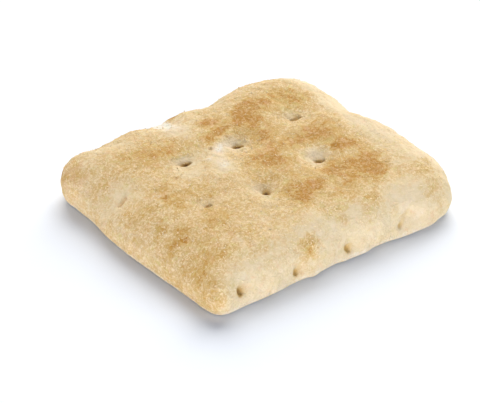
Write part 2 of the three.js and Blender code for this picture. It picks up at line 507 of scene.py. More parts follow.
# %% Press the pits on the top
# how far behind the rim each stroke lies, how far to its right and how long as shares of the rim's half,
# how deep it goes and how far it reaches, in mm, and its falloff
NEST = (
    (3.4, 0.0, 1.0, 0.42, 5.0, "SMOOTH"),
    (1.4, 0.1, 0.7, 0.8, 2.4, "SHARP"),
    (0.8, 0.15, 0.65, 1.2, 1.1, "SPHERE"),
    (0.5, 0.25, 0.5, 1.6, 0.85, "SPHERE"),
)
PIN_LEAN = math.radians(28)
BACK, DOWN = Vector((0, 1, 0)), Vector((0, 0, -1))


def smile(middle, half, along, back, left_bend, right_bend):
    """A bent stroke. Its two ends lie this far back from its middle, in mm."""
    steps = max(2, round(2 * half / FINGER_STEP))
    shares = [2 * k / steps - 1 for k in range(steps + 1)]
    return [
        middle + along * half * share + back * (right_bend if share > 0 else left_bend) * share ** 2
        for share in shares
    ]


before_pressing = corners(crust)
finger = Finger(crust)
for name, (x, y, half, slope, strength) in TOP_MARKS.items():
    rim, along, across = top_places[name], Vector((1, slope, 0)), Vector((-slope, 1, 0)).normalized()
    for behind, aside, share, depth, reach, falloff in NEST:
        lean = PIN_LEAN if depth > 1 else 0
        push = (DOWN * math.cos(lean) - across * math.sin(lean)) * depth * strength
        middle = rim + across * behind + along * aside * half
        finger.press(smile(middle, share * half, along, across, 0.6, 0.3), push, reach, falloff)
    lip = smile(rim - across * 1.3, 0.6 * half, along, across, 0.5, 0.2)
    finger.press(lip, (0, 0.2 * strength, 0.3 * strength), 2.2)
print("pits on the top:", len(TOP_MARKS))

# %% [markdown]
# The front row of pins came down where the dough curves over its edge, and baking turned those pits
# outwards. They run in to the lower left, with their soft slope on the upper right. The last one on the
# right only left a slanting groove.

# %% Press the pits in the side
# how far beside the rim, how long as a share, how deep, how far it reaches, and its falloff
SIDE_NEST = (
    (3.2, 0.9, 0.6, 4.8, "SMOOTH"),
    (2.0, 0.8, 0.8, 3.0, "SMOOTH"),
    (1.1, 0.7, 1.0, 1.9, "SMOOTH"),
    (0.6, 0.6, 1.1, 1.1, "SPHERE"),
)
DOWNWARD, UP_RIGHT = Vector((0.43, 0, -0.9)), Vector((0.9, 0, 0.43))
for name, (x, y, z, half, strength) in SIDE_MARKS.items():
    for beside, share, depth, reach, falloff in SIDE_NEST:
        push = (BACK * 0.8 - UP_RIGHT * 0.25 + DOWN * 0.45) * depth * strength
        middle = Vector((x, y, z)) + UP_RIGHT * beside
        finger.press(smile(middle, share * half, DOWNWARD, UP_RIGHT, 0.4, 0.4), push, reach, falloff)
groove = line((27.6, -55.4, 6.0), (32.0, -55.0, 10.6))
finger.press(groove, BACK * 1.0 + DOWN * 0.3, 3.4)
finger.press(groove[:3], BACK * 0.4 + DOWN * 0.2, 1.7)
print("pits in the side:", len(SIDE_MARKS) + 1)

# %% [markdown]
# The rest are small marks of chance: a crease that runs from the top down to one of the side pits, a
# dimple beside it, a pinhole, a nick at the base, and a torn lip at the notch in the far edge. Three soft
# pulls swell the foot of the front side. How far each corner was pressed is kept, because the deep ones
# will be crumb and not crust.

# %% Creases and nicks
CREASE = [(-9, -31, 22.5), (-14, -39, 22), (-19, -46, 20.5), (-21.5, -51, 15)]
for start, end in zip(CREASE, CREASE[1:]):
    finger.press(line(start, end), (0.05, 0.12, -0.3), 2.4)
dimple, pinhole, nick = [Vector((-8, -36, 22.3))], [Vector((-12, 16, 22))], [Vector((-36, -52, 2.6))]
finger.press(dimple, DOWN * 0.5, 2.0)
finger.press(pinhole, (0, -0.3, -0.9), 1.0, "SPHERE")
finger.press(nick, (0.2, 1.1, 0.5), 1.7)
torn_lip = line((-12.8, 54.0, 13.2), (-10.2, 53.8, 14.2))
finger.press(torn_lip, (0, -1.2, -2.6), 3.4)
for foot, forwards, reach in (
    (line((28, -54, 1), (41, -55.5, 1)), 1.4, 9),
    (line((1, -52, 1), (9, -52.5, 1)), 1.2, 6),
    ([Vector((-15, -51.5, 1))], 0.9, 4),
):
    finger.press(foot, BACK * -forwards, reach)
bpy.ops.object.mode_set(mode="OBJECT")
pressed = np.linalg.norm(corners(crust) - before_pressing, axis=1)
store(crust, "pressed", pressed)
print("the deepest corner was pressed", round(float(pressed.max()), 2), "mm")

# %% [markdown]
# ## Blisters
#
# The finest relief is the pebbly look of the crust, with blisters about a millimetre wide. It is
# strongest on the browned top, and the pale sides are smoother.

# %% Blister the skin
skin = corners(crust)
off_base = np.clip((skin[:, 2] - 0.4) / 3, 0, 1)
upwards = np.clip((skin[:, 2] - 8) / 10, 0.35, 1)
swell(crust, "blisters", 1.2, 0.3, off_base * upwards)
print("blisters on", int((off_base * upwards > 0.5).sum()), "corners")

# %% [markdown]
# The bread touches the tray a little inside its edge, where the crust curls up. So the outermost part of
# the level rim is lifted, which gives the thin dark line of shadow under the edge.

# %% Lift the edge off the tray
LIFT, LEVEL_RIM = 0.6, 2  # how far the edge rises, and over which width it starts to, in mm

skin = corners(crust)
edge_uses = np.zeros(len(crust.data.edges), int)
np.add.at(edge_uses, [loop.edge_index for loop in crust.data.loops], 1)
open_corners = {v for e in np.nonzero(edge_uses == 1)[0] for v in crust.data.edges[int(e)].vertices}
open_rim = kdtree.KDTree(len(open_corners))
for index in open_corners:
    open_rim.insert(Vector(skin[index]), index)
open_rim.balance()
low_corners = np.nonzero(skin[:, 2] < 1.0)[0]
lift = np.zeros(len(skin))
for index in low_corners:
    away = open_rim.find(Vector(skin[index]))[2]
    lift[index] = min(1, away / LEVEL_RIM) * (1 - skin[index, 2])
group(crust, "lift", lift)
apply_modifier(crust, "DISPLACE", direction="Z", strength=LIFT * MM, mid_level=0, vertex_group="lift")
print("lifted corners:", int((lift > 0.02).sum()))

# %% [markdown]
# ## Closing the base
#
# Only the open rim of the base is selected, and one flat face fills it. A narrow inset inside it keeps the
# shading of the rim from spreading over the whole underside.

# %% Close the base
choose(crust)
bpy.ops.object.mode_set(mode="EDIT")
bpy.ops.mesh.select_mode(type="EDGE")
bpy.ops.mesh.select_all(action="DESELECT")
bpy.ops.mesh.select_non_manifold(extend=False)
bpy.ops.mesh.edge_face_add()
bpy.ops.mesh.select_mode(type="FACE")
bpy.ops.mesh.inset(thickness=0.4 * MM, depth=0)
bpy.ops.mesh.select_all(action="SELECT")
bpy.ops.mesh.normals_make_consistent(inside=False)
bpy.ops.object.mode_set(mode="OBJECT")
bpy.ops.object.shade_smooth()
bpy.data.objects.remove(form)
crust.vertex_groups.clear()

whole = bmesh.new()
whole.from_mesh(crust.data)
open_edges = sum(1 for edge in whole.edges if not edge.is_manifold)
volume = whole.calc_volume() / MM ** 3 / 1000
print("squares", len(whole.faces), "open edges", open_edges, "volume", round(volume, 1), "cubic cm")
whole.free()

# %% [markdown]
# ## Browning
#
# How far each place has browned is stored on the mesh as a number, the way one would paint it with a
# soft brush: about a hundred strokes, each with a place, a size, a turn and a strength. A noise bends the
# strokes' edges so that none looks round. The material later turns the number into a colour, so
# the pattern belongs to the bread and looks the same from all sides.

# %% The brush


def noise_at(places, lump, offset=0.0):
    """A smooth noise with lumps of this width in mm, from -1 to 1, one value for each place."""
    shift = Vector((offset, offset * 0.7, -offset))
    return np.array([noise.noise(Vector(place) / lump + shift) for place in places])


def bent(places, lump, by):
    """The places, each pushed by up to this far in mm by three noises."""
    pushes = [noise_at(places, lump, offset) for offset in (3.1, 17.7, 41.3)]
    return places + by * np.stack(pushes, axis=1)


def dab(places, x, y, z, along, across, turn):
    """A soft dab of the brush: 1 at its middle, fading to 0 past its two half widths."""
    angle = math.radians(turn)
    from_x, from_y = places[:, 0] - x, places[:, 1] - y
    far = (from_x * math.cos(angle) + from_y * math.sin(angle)) / along
    wide = (from_y * math.cos(angle) - from_x * math.sin(angle)) / across
    deep = (places[:, 2] - z) / max(across, 6)
    return np.exp(-0.9 * (far ** 2 + wide ** 2 + deep ** 2))


# %% [markdown]
# The strokes are grouped by where they lie. Places and sizes are in mm, the turn is in degrees, and the
# last number is the strength. A negative strength keeps the dough pale, as round the pits.

# %% Browned and pale places
BROWNED = [
    # the back, left of the dip and right of it
    (-35, 31, 22, 7, 4, 0, 0.3), (-33, 25, 22, 4, 3, 0, 0.28), (-24, 26, 22, 5, 4.5, 60, 0.42),
    (-36, 24, 22, 5, 4, 0, 0.2), (-1, 31, 23, 4, 3, 0, 0.65), (-3, 22, 23, 8, 3, 20, 0.62),
    (11, 26, 23, 7, 4, 45, 0.62), (20, 31, 23, 6, 4, 50, 0.5), (18, 25, 23, 5, 3, 15, 0.4),
    (15, 20, 23, 5, 3.5, 45, 0.45), (37, 27, 23, 7, 6, 0, 0.4), (42, 22, 22, 6, 5, 0, 0.24),
    (27, 28, 23, 8, 4, 35, 0.38), (36, 18, 22, 5, 3, 0, 0.3), (43, 12, 21, 4, 2.5, 0, 0.2),
    (-6, 51.2, 16, 2.2, 2.0, 20, 1.0),
    # across the middle
    (10, 9, 23, 8, 3.5, 80, 0.25), (26, -1, 23, 10, 5, 0, 0.44), (27, -4, 23, 5, 3, 0, 0.2),
    (14, -3, 24, 5, 4, 60, 0.3), (6, -2, 24, 5, 3, 60, 0.3), (2, -8, 23, 6, 3, -20, 0.42),
    (38, 3, 22, 6, 5, 0, 0.22), (-3, -1, 23, 6, 6, 90, 0.36), (0, -13, 23, 8, 4, 90, 0.26),
    (-8, -14, 22, 4, 2.5, 0, 0.18), (12, 8, 23, 6, 5, 0, 0.3), (-19, 8, 22, 2, 3, 0, 0.25),
    # the right, above the row of pits
    (31, -15, 22, 6, 3.5, 0, 0.5), (31, -15, 22, 3.5, 2.5, 0, 0.4), (38, -20, 22, 6, 3, 90, 0.3),
    (34, -28, 22, 6, 5, 0, 0.38), (31, -35, 21, 6, 5, 60, 0.55), (29, -33, 22, 3, 3, 0, 0.4),
    (20, -30, 22, 7, 5, 60, 0.3), (15, -26, 22, 5, 4, 0, 0.36), (13, -39, 22, 9, 5, 20, 0.28),
    (32, -8, 22, 4, 3, 0, 0.35), (33, -16, 22, 3, 2, 0, 0.4), (22, -24, 22, 8, 4, -20, 0.40),
    (20, -47, 21, 6, 3, 20, 0.3), (18, -48, 20.7, 4, 3, 0, 0.15), (4.7, -29, 21.7, 2.5, 2, 0, 0.5),
    (25, -42, 21, 4, 3, 30, 0.25),
    # between the two front pits
    (-1, -30, 22, 7, 5, 10, 0.7), (-2, -32, 22, 3.5, 2.5, 0, 0.35), (5, -29, 22, 3, 2.5, 0, 0.4),
    (-4, -24, 22, 4, 3, 0, 0.25), (7, -20, 23, 4, 3, 0, 0.22),
    # the left
    (-44, 4, 21, 7, 4, 60, 0.34), (-56, 4, 18, 5, 5, 0, 0.26), (-44, -6, 21, 3.5, 2.5, 90, 0.3),
    (-37, -3, 22, 5, 4, 0, 0.26), (-55, -9, 18, 5, 2.5, 0, 0.3), (-55, -19, 17, 6, 3.5, 0, 0.55),
    (-37, -16, 21, 3, 2, 0, 0.18), (-41, -23, 21, 6, 4, 40, 0.34), (-54, -32, 18, 6, 5, 60, 0.28),
    (-50, -38, 20, 4, 3, 0, 0.4), (-36, -36, 21, 6, 5, 45, 0.2), (-59, 27, 16, 6, 4, 90, 0.12),
    (-50, 29, 20, 7, 5, 0, 0.2), (-30, -22, 21, 8, 5, 0, 0.14), (-62, 50, 13, 2.5, 5, 0, 0.4),
    (-62, -37, 11, 5, 7, 0, 0.16), (-61, -30, 11, 5, 5, 0, 0.08), (-63, -28, 5, 4, 8, 0, 0.16),
    (-62, -42, 6, 4, 6, 0, 0.14), (-61, 3, 14, 4, 7, 0, 0.12), (-57, -46, 13, 6, 5, 0, 0.16),
    # small dark cores inside the browned places
    (-1, 31, 23, 3, 2, 0, 0.4), (-8, 24, 22, 3.5, 1.8, 20, 0.35), (0, 23, 23, 3, 1.5, 0, 0.25),
    (18, 27, 23, 4.5, 1.8, 60, 0.45), (11, 26, 23, 4, 2, 20, 0.25), (18, 13, 23, 5, 2.5, 0, 0.25),
    (32, -15, 22, 2.8, 1.6, 0, 0.5), (31, -32, 22, 2.6, 3.2, 0, 0.6), (35, -27, 22, 2.4, 1.8, 30, 0.6),
    (-2, -31, 22, 3.5, 2.2, 40, 0.45), (4, -29, 22, 2.4, 1.5, 0, 0.35), (27, -3, 23, 3.2, 1.8, 0, 0.35),
    (15, -4, 23, 2.5, 1.5, 60, 0.25), (-29, -8, 22, 3, 2, 0, 0.25), (-60, -39, 15, 3, 2, 0, 0.3),
    (-61, 41, 15, 2.5, 4, 0, 0.25), (33, -38, 21, 3, 2, 0, 0.3), (5, -3, 23, 3, 2, 60, 0.2),
    # faint ones on the pale side
    (-17, -52, 14, 5, 4, 0, 0.45), (1, -46, 20, 5, 4, 0, 0.2), (46, -47, 21, 6, 5, 0, 0.3),
    (46, -56, 15, 6, 4, 0, 0.22),
]
KEPT_PALE = [
    (-25, 18, 20, 5, 4, 0, 0.4), (-5, 14, 21, 8, 4, 0, 0.5), (-16, 4, 22, 5, 7, 0, 0.42),
    (20, -13, 21, 6, 4, 0, 0.45), (-13, -17, 21, 4, 5, 0, 0.35), (-36, -10, 20, 4, 3, 0, 0.2),
    (31, 16, 21, 5, 3, 0, 0.3), (-54, 17, 17, 5, 4, 0, 0.2), (-26, -28, 21, 10, 8, 0, 0.1),
    (-14, 37, 21, 4, 8, 0, 0.4), (-28, 5, 21, 4, 6, 0, 0.2), (49, 5, 20, 4, 30, 0, 0.14),
    (-40, 46, 20, 18, 7, 0, 0.16), (-54, 26, 17.5, 8, 8, 0, 0.16), (8, 45, 20, 26, 5, 0, 0.16),
    (-5, 35, 22, 3, 4, 0, 0.22), (40, 18, 22, 2.5, 2.5, 0, 0.28), (38, 8, 22, 6, 6, 0, 0.1),
    (-24, 7, 22, 6, 4, 0, 0.1), (-62, -34, 11, 3, 7, 0, 0.25), (-40, -38, 20, 4, 3, 0, 0.15),
    (22, -45, 21, 5, 3, 0, 0.2), (14, -36, 22, 3, 3, 0, 0.15), (-54, 12, 17, 10, 20, 0, 0.07),
    (-60, 44, 14, 8, 10, 0, 0.05), (39, -32, 21, 2.5, 2.5, 0, 0.2), (45, -38, 21, 3, 2.5, 0, 0.2),
    (-31, 16, 21, 3, 2.5, 0, 0.12),
]
print("strokes that brown:", len(BROWNED), "strokes that keep pale:", len(KEPT_PALE))

# %% [markdown]
# Under the strokes lies an even tone: golden on the top, and paler on the front side and the right end,
# which got less heat. Where the strokes pile up, the sum is bent over, so that no place burns.

# %% Brown the skin
TOP_TONE, SIDE_TONE, RIGHT_TONE = 0.42, 0.15, 0.11
KNEE, DARKEST_STEP, BEND = 0.65, 0.6, 0.7  # where the sum bends over, what it still adds, how softly

skin = corners(crust)
bent_skin = bent(skin, 5.0, 2.2)
right_end = np.clip((skin[:, 0] - 40) / 16, 0, 1)
front_side = np.clip((-38 - skin[:, 1]) / 10, 0, 1) * np.clip((skin[:, 0] + 60) / 5, 0, 1)
browning = TOP_TONE + (SIDE_TONE - TOP_TONE) * front_side
browning += (RIGHT_TONE - TOP_TONE) * right_end * (1 - front_side)
browning += 0.10 * noise_at(skin, 14, 5.5) + 0.10 * noise_at(skin, 6, 9.5) + 0.08 * noise_at(skin, 2.6, 2.5)
patches = sum(strength * dab(bent_skin, *stroke) for *stroke, strength in BROWNED)
browning += patches * (1.3 + noise_at(skin, 3.2, 31))
browning -= sum(strength * dab(bent_skin, *stroke) for *stroke, strength in KEPT_PALE)
above = np.maximum(browning - KNEE, 0)
browning = np.minimum(browning, KNEE) + DARKEST_STEP * np.tanh(above / BEND)
print("the skin's mean browning is", round(float(browning.mean()), 2))

# %% [markdown]
# Of two places that are equally brown one may still look rosier and another more olive. That is painted
# as a tint of its own.

# %% Rosy and olive places
TINTED = [  # rosy where the strength is positive, olive where it is negative
    (-62.6, 41.7, 15, 5, 8, 0, 0.5), (6, 2, 23, 7, 5, 0, 0.3), (30, 0, 23, 6, 3, 10, 0.3),
    (39, 2, 23, 5, 3, 10, 0.3), (34, -16, 22, 3, 2.5, 0, 0.3), (4, -29, 22, 4, 2.5, 0, 0.3),
    (-1, 30, 23, 5, 3, 0, 0.3), (23, 33, 23, 4, 3, 0, 0.1), (34, 24, 22, 8, 7, 0, -0.45),
    (28, -10, 22, 4, 3, 0, -0.35), (-7, -25, 21, 6, 5, 0, -0.35), (15, -8, 23, 5, 4, 0, -0.25),
    (2, -44, 21, 6, 6, 0, -0.3), (-52, 20, 18, 6, 5, 0, -0.2), (-18, 20, 22, 6, 4, 0, -0.3),
]
tint = sum(strength * dab(bent_skin, *stroke) for *stroke, strength in TINTED)
print("strokes of tint:", len(TINTED))

# %% [markdown]
# The pits' walls and floors stayed soft, pale crumb, and they are made darker the deeper they go, partly as
# browner crumb and partly as painted shade. How far each corner was pressed says which those are. Just
# behind its near rim, where the pin ran in, a pit lies in deep shade, and that shade is painted, brown and
# dark. A short dark stroke paints it, and a softer one behind it paints the shade fading out up the slope.
# The brush works from above, so for the pits in the side it is given the corners as seen from the front.

# %% Pits, and the shade painted in them
SIDE_TURN = -64  # the slant of the pits in the side, in degrees
FAR_ROW = 30  # from here back the pits are shallow and stay pale, in mm
CRUMB_FROM, CRUMB_OVER = 1.0, 1.8  # from how deep crumb shows, and over what depth it comes in, in mm

# closing the base added corners, so the numbers are read back from the mesh
pressed = np.empty(len(skin))
crust.data.attributes["pressed"].data.foreach_get("value", pressed)
high_up = np.clip(0.6 + (skin[:, 2] - 8) / 10, 0.6, 1)  # the pits low in the side show less crumb
pit_depth = np.clip((pressed - CRUMB_FROM) / CRUMB_OVER, 0, 1) * high_up
browning -= 0.35 * pit_depth
painted_pit_shade = np.zeros(len(skin))
for name, (x, y, half, slope, strength) in TOP_MARKS.items():
    rim, along, across = top_places[name], Vector((1, slope, 0)), Vector((-slope, 1, 0)).normalized()
    dark, soft = rim + along * 0.2 * half + across * 1.3, rim + across * 2.7
    turn = math.degrees(math.atan(slope))
    # painted shade: the weaker the pin pressed, the lighter the shade painted under the rim
    painted_pit_shade += (1.4 * strength - 0.42) * dab(skin, *dark, 0.8 * half + 0.3, 1.1, turn)
    painted_pit_shade += 0.3 * (strength - 0.4) * dab(skin, *soft, half + 0.8, 1.8, turn)
# painted shade on the wall up to the right of the front middle pit's hole
painted_pit_shade += 0.4 * dab(skin, -11, -18.4, 21, 1.5, 1.5, 0)  # deep in the front middle pit
front_view = skin[:, [0, 2, 1]]
# painted shade in the pits of the side: a dark stroke at each hole and a softer one up its slope
for x, y, z, half, strength in SIDE_MARKS.values():
    painted_pit_shade += 0.95 * strength * dab(front_view, x + 0.6, z - 0.7, y, half, 1.1, SIDE_TURN)
    painted_pit_shade += 0.55 * strength * dab(front_view, x + 1.9, z + 0.3, y, 3.0, 2.4, SIDE_TURN)
# painted shade in the slanting groove, and at its lower end
painted_pit_shade += 0.22 * dab(front_view, 29.4, 8.0, -55, 3.8, 2.0, 50)
painted_pit_shade += 0.3 * dab(front_view, 27.6, 6.0, -55, 1.2, 1.2, 0)
# the far pits get no painted shade
painted_pit_shade *= skin[:, 1] < FAR_ROW
print("corners inside a pit:", int((pit_depth > 0.5).sum()))

# %% [markdown]
# The flour is painted with the same brush. It lies in the folds of the top and in the notch. The foot of
# the sides is mixed towards the flour's white too, as painted reflected light from the white ground. The
# underside gets a number of its own.

# %% Flour and underside
FLOURED = [
    (-12.3, 49.6, 16.7, 3.0, 3, 0, 1.1), (-13.8, 47, 17.6, 3, 3, 0, 0.9), (-13, 42, 20.5, 4, 3.5, 0, 0.6),
    (-14, 37, 21, 4, 4, 0, 0.4), (-16, 11, 22, 3, 2.5, 0, 0.5), (-8, 14, 21, 5, 2, 10, 0.75),
    (-15, 3, 23, 4, 3, 0, 0.65), (-30, 9, 21, 3, 2, 0, 0.35), (-50, -22, 19, 3, 3, 0, 0.4),
    (-2, -46, 20, 7, 4, 0, 0.25),
]
flour_and_reflection = np.zeros(len(skin))
for *stroke, strength in FLOURED:
    flour_and_reflection += strength * dab(bent_skin, *stroke)
# painted reflected light from the white ground: the foot of the sides is mixed towards the flour's white
flour_and_reflection += 0.5 * np.clip((5 - skin[:, 2]) / 2.5, 0, 1)
underside = np.clip((0.25 - skin[:, 2]) / 0.2, 0, 1)

store(crust, "browning", np.clip(browning, 0, 1.2))
store(crust, "pit", pit_depth)
store(crust, "painted_pit_shade", np.clip(painted_pit_shade, 0, 1))
store(crust, "tint", tint)
store(crust, "flour_and_reflection", np.clip(flour_and_reflection, 0, 1))
store(crust, "underside", underside)
print("browning from", round(float(browning.min()), 2), "to", round(float(browning.max()), 2))

# %% [markdown]
# ## Crust material
#
# Baked crust is matt, and light goes a little way into it. Its colour comes from the numbers that are
# stored on the mesh, and noises of several sizes break it up. A material is a net of nodes, and this small
# kit makes each of them in one line.

# %% A small kit for nodes


class Recipe:
    """Builds one material's nodes. A number or colour goes straight onto a socket, a socket is linked."""

    def __init__(self, name):
        self.material = bpy.data.materials.new(name)
        self.material.use_nodes = True
        self.nodes = self.material.node_tree.nodes
        self.links = self.material.node_tree.links
        self.shader = self.nodes["Principled BSDF"]
        self.place = self.nodes.new("ShaderNodeTexCoord").outputs["Object"]

    def put(self, value, socket):
        if isinstance(value, bpy.types.NodeSocket):
            self.links.new(value, socket)
        else:
            socket.default_value = value

    def number(self, name):
        node = self.nodes.new("ShaderNodeAttribute")
        node.attribute_name = name
        return node.outputs["Fac"]

    def noise(self, width, detail=2.0, roughness=0.5, distortion=0.0):
        node = self.nodes.new("ShaderNodeTexNoise")
        self.put(self.place, node.inputs["Vector"])
        node.inputs["Scale"].default_value = 1 / (width * MM)
        node.inputs["Detail"].default_value = detail
        node.inputs["Roughness"].default_value = roughness
        node.inputs["Distortion"].default_value = distortion
        return node.outputs["Fac"]

    def maths(self, operation, first, second=0.0, third=0.0, clamp=False):
        node = self.nodes.new("ShaderNodeMath")
        node.operation = operation
        node.use_clamp = clamp
        for value, socket in zip((first, second, third), node.inputs):
            self.put(value, socket)
        return node.outputs[0]

    def between(self, value, start, end, low=0.0, high=1.0):
        node = self.nodes.new("ShaderNodeMapRange")
        node.interpolation_type = "SMOOTHSTEP"
        self.put(value, node.inputs["Value"])
        for name, number in (("From Min", start), ("From Max", end), ("To Min", low), ("To Max", high)):
            node.inputs[name].default_value = number
        return node.outputs["Result"]

    def ramp(self, value, tones):
        node = self.nodes.new("ShaderNodeValToRGB")
        self.put(value, node.inputs["Fac"])
        elements = node.color_ramp.elements
        while len(elements) < len(tones):
            elements.new(0.5)
        for element, (position, tone) in zip(elements, tones):
            element.position = position
            element.color = tone
        return node.outputs["Color"]

    def mix(self, factor, first, second):
        node = self.nodes.new("ShaderNodeMix")
        node.data_type = "RGBA"
        self.put(factor, node.inputs[0])
        self.put(first, node.inputs[6])
        self.put(second, node.inputs[7])
        return node.outputs[2]

    def bump(self, height, strength, distance, under=None):
        node = self.nodes.new("ShaderNodeBump")
        node.inputs["Strength"].default_value = strength
        node.inputs["Distance"].default_value = distance * MM
        self.put(height, node.inputs["Height"])
        if under is not None:
            self.put(under, node.inputs["Normal"])
        return node.outputs["Normal"]


# %% [markdown]
# The baked tones are given as they look in this light. A helper makes them a little darker and turns them
# into the linear values that nodes use.

# %% The baked tones
SOFT_LIGHT = 0.88  # under this light a surface looks that much lighter than its own colour


def tone(red, green, blue):
    """A colour as it looks in this light, 0 to 255, turned into the linear values that nodes use."""
    linear = [((c / 255 + 0.055) / 1.055) ** 2.4 for c in (red, green, blue)]
    return (*(value * SOFT_LIGHT for value in linear), 1)


CREAM = tone(239, 219, 186)
DOUGH = tone(231, 209, 166)
GOLD = tone(221, 189, 135)
TAN = tone(210, 174, 109)
BROWN = tone(204, 162, 87)
DARK = tone(188, 135, 48)
OLIVE = tone(214, 195, 126)
ROSY = tone(229, 186, 145)
# pale blister tops, with painted highlights
SPECK_AND_HIGHLIGHT = tone(250, 227, 180)
FLOUR_WHITE = tone(248, 240, 222)
CRUMB = tone(238, 210, 160)
# the deep crumb: partly browner crumb, partly painted shade
SHADED_CRUMB = tone(188, 140, 86)
# painted shade on the slope behind a pit's rim
PAINTED_SLOPE_SHADE = tone(206, 167, 98)
# painted shade in the dark under a pit's rim
PAINTED_PIT_SHADE = tone(124, 84, 40)
TRAY_SIDE = tone(214, 182, 126)
print("the palest tone is", [round(value, 2) for value in CREAM[:3]])

# %% [markdown]
# The browning number alone would give soft clouds. Three noises push it up and down: mottling 4.5 mm wide,
# a grain of 2 mm, and flecks of about a millimetre. They count less on the pale sides and in the darkest
# places. The sum runs through a ramp of baked tones.

# %% Mottle the browning
MOTTLE_SHARE, GRAIN_SHARE, FLECK_SHARE, BALANCE = 0.34, 0.45, -0.8, 0.01

crust_recipe = Recipe("baked crust")
number, between = crust_recipe.number, crust_recipe.between
maths, mix = crust_recipe.maths, crust_recipe.mix
brownness = number("browning")
mottle = crust_recipe.noise(4.5, detail=3, roughness=0.6, distortion=0.4)
grain = crust_recipe.noise(2.0, detail=3, roughness=0.6, distortion=0.5)
flecks = crust_recipe.noise(1.1, detail=2, roughness=0.6, distortion=0.9)
rough = between(brownness, 0.1, 0.45, 0.42, 1.1)
calm = between(brownness, 0.5, 0.85, 1.0, 0.58)
rough = maths("MULTIPLY", rough, calm)
blotches = maths("MULTIPLY_ADD", mottle, MOTTLE_SHARE, BALANCE)
blotches = maths("MULTIPLY_ADD", grain, GRAIN_SHARE, blotches)
blotches = maths("MULTIPLY_ADD", flecks, FLECK_SHARE, blotches)
baked = maths("MULTIPLY_ADD", blotches, rough, brownness, clamp=True)
colour = crust_recipe.ramp(baked, [
    (0.0, CREAM), (0.2, DOUGH), (0.42, GOLD), (0.62, TAN), (0.82, BROWN), (1.0, DARK),
])
print("nodes for the browning:", len(crust_recipe.nodes))

# %% [markdown]
# Crust isn't of one hue. A slow noise, moved by the painted tint, lets some places turn olive and others
# rosy. Pale specks and thin pale ridges are partly the pale tops of tiny blisters and partly painted
# highlights on them.

# %% Drift the hue and add specks and painted highlights
HUE_SWING, SPECK_SHARE = -3.4, 0.55

hue = crust_recipe.noise(3.2, detail=3, roughness=0.6, distortion=0.5)
warmth = maths("MULTIPLY_ADD", hue, HUE_SWING, number("tint"))
olive = between(warmth, -1.8, -2.4, 0.0, 0.6)
rosy = between(warmth, -1.6, -0.9, 0.0, 0.45)
colour = mix(maths("MULTIPLY", olive, rough), colour, OLIVE)
colour = mix(rosy, colour, ROSY)
folds = crust_recipe.noise(2.0, detail=2, roughness=0.6, distortion=0.6)
ridge = maths("ABSOLUTE", maths("SUBTRACT", folds, 0.5))
ridge = between(ridge, 0.07, 0.0)
ridge = maths("MULTIPLY", ridge, between(flecks, 0.38, 0.52))
speck_and_highlight = maths("MAXIMUM", between(flecks, 0.56, 0.66), ridge)
speck_and_highlight = maths("MULTIPLY", speck_and_highlight, maths("MULTIPLY", rough, SPECK_SHARE))
colour = mix(speck_and_highlight, colour, SPECK_AND_HIGHLIGHT)
print("nodes with hue and specks:", len(crust_recipe.nodes))

# %% [markdown]
# The pits show crumb, darker towards the floor, partly as browner crumb and partly as painted shade, and
# painted brown shade behind the rim. Flour lies over all of it, in a grainy way, with painted reflected
# light at the foot of the sides, and the underside took an even gold from the tray.

# %% Colour the pits, the flour and the underside
pit_number, painted_pit_shade_number = number("pit"), number("painted_pit_shade")
colour = mix(between(pit_number, 0.0, 0.4), colour, CRUMB)
colour = mix(between(pit_number, 0.45, 1.0), colour, SHADED_CRUMB)
# painted shade in the pits: warm on the slope, dark brown under the rim
colour = mix(between(painted_pit_shade_number, 0.05, 0.5), colour, PAINTED_SLOPE_SHADE)
colour = mix(between(painted_pit_shade_number, 0.45, 1.0), colour, PAINTED_PIT_SHADE)
# flour, and the painted reflected light at the foot of the sides
grainy = maths("MULTIPLY", grain, 0.9)
dusting_and_reflection = maths("ADD", number("flour_and_reflection"), grainy)
colour = mix(between(dusting_and_reflection, 0.75, 1.35), colour, FLOUR_WHITE)
colour = mix(number("underside"), colour, TRAY_SIDE)
print("nodes with pits and flour:", len(crust_recipe.nodes))

# %% [markdown]
# Relief that is finer than the mesh is a bump: pebbles one or two millimetres wide, and a grain of half a
# millimetre. The finish is matt, and light goes less than a millimetre into it, red light the furthest.

# %% Relief and finish
fine = crust_recipe.noise(0.45, detail=1)
pebbles = maths("MULTIPLY_ADD", flecks, 0.6, grain)
pebbles = maths("MULTIPLY_ADD", ridge, 0.15, pebbles)
normal = crust_recipe.bump(pebbles, 0.9, 0.55)
normal = crust_recipe.bump(fine, 0.35, 0.06, under=normal)
shader = crust_recipe.shader
crust_recipe.put(colour, shader.inputs["Base Color"])
crust_recipe.put(between(mottle, 0.3, 0.7, 0.62, 0.78), shader.inputs["Roughness"])
crust_recipe.put(normal, shader.inputs["Normal"])
shader.inputs["Specular IOR Level"].default_value = 0.3
shader.inputs["Subsurface Weight"].default_value = 0.15
shader.inputs["Subsurface Radius"].default_value = (1.0, 0.55, 0.28)
shader.inputs["Subsurface Scale"].default_value = 0.8 * MM
crust.data.materials.clear()
crust.data.materials.append(crust_recipe.material)
print("the crust's material has", len(crust_recipe.nodes), "nodes")

# %% [markdown]
# ## Semolina and flour grains
#
# The bread was dusted before it was baked. The grains are real little lumps, half sunk in the crust. They
# could be drawn as specks in the material, but only geometry catches the light at its edge. The skin is
# copied, and a number on the copy says how densely the grains lie: most towards the front left corner, few
# in the brownest places, some more where flour was painted, and none in the pits or low on the sides.

